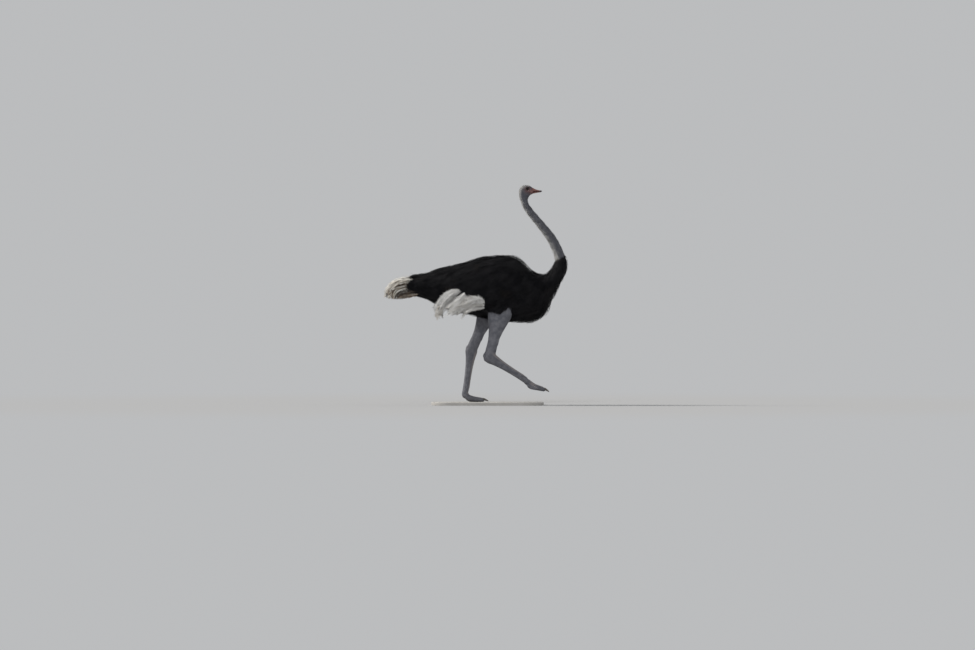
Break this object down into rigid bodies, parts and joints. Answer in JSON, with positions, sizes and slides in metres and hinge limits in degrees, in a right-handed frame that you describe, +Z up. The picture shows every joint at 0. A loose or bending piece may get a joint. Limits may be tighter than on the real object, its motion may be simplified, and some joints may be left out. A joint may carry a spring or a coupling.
{
  "type": "life-size ostrich model",
  "caption": "Life-size walking male ostrich, one foot raised, standing on a flat display base.",
  "frame": {"origin": "centre of the display base's flat underside, on the floor", "axes": "+Z up; the bird faces +X and its left side is +Y"},
  "size_m": [1.7856, 0.6024, 2.1582],
  "materials": {
    "black_plume": "soft black feather",
    "white_plume": "soft white feather",
    "tail_plume": "soft buff and brown feather",
    "neck_skin": "bare blue-grey skin with sparse down",
    "leg_skin": "bare blue-grey skin with scutes",
    "toe_skin": "scaled skin",
    "bill_horn": "satin pink-grey horn",
    "claw_horn": "satin dark horn",
    "eye": "glossy dark brown",
    "stand_board": "matt paint"
  },
  "bodies": {
    "root": {"head": "neck_skin", "bill_upper": "bill_horn", "bill_lower": "bill_horn", "eye_left": "eye", "eye_right": "eye", "neck_upper": "neck_skin", "neck_lower": "black_plume", "trunk": "black_plume", "tail": "tail_plume", "wing_left": "black_plume", "wing_right": "black_plume", "plumes_left": "white_plume", "plumes_right": "white_plume", "drumstick_left": "leg_skin", "drumstick_right": "leg_skin", "shank_left": "leg_skin", "shank_right": "leg_skin", "toe_inner_left": "toe_skin", "toe_inner_right": "toe_skin", "toe_outer_left": "toe_skin", "toe_outer_right": "toe_skin", "claw_left": "claw_horn", "claw_right": "claw_horn", "stand_base": "stand_board"}
  },
  "joints": []
}
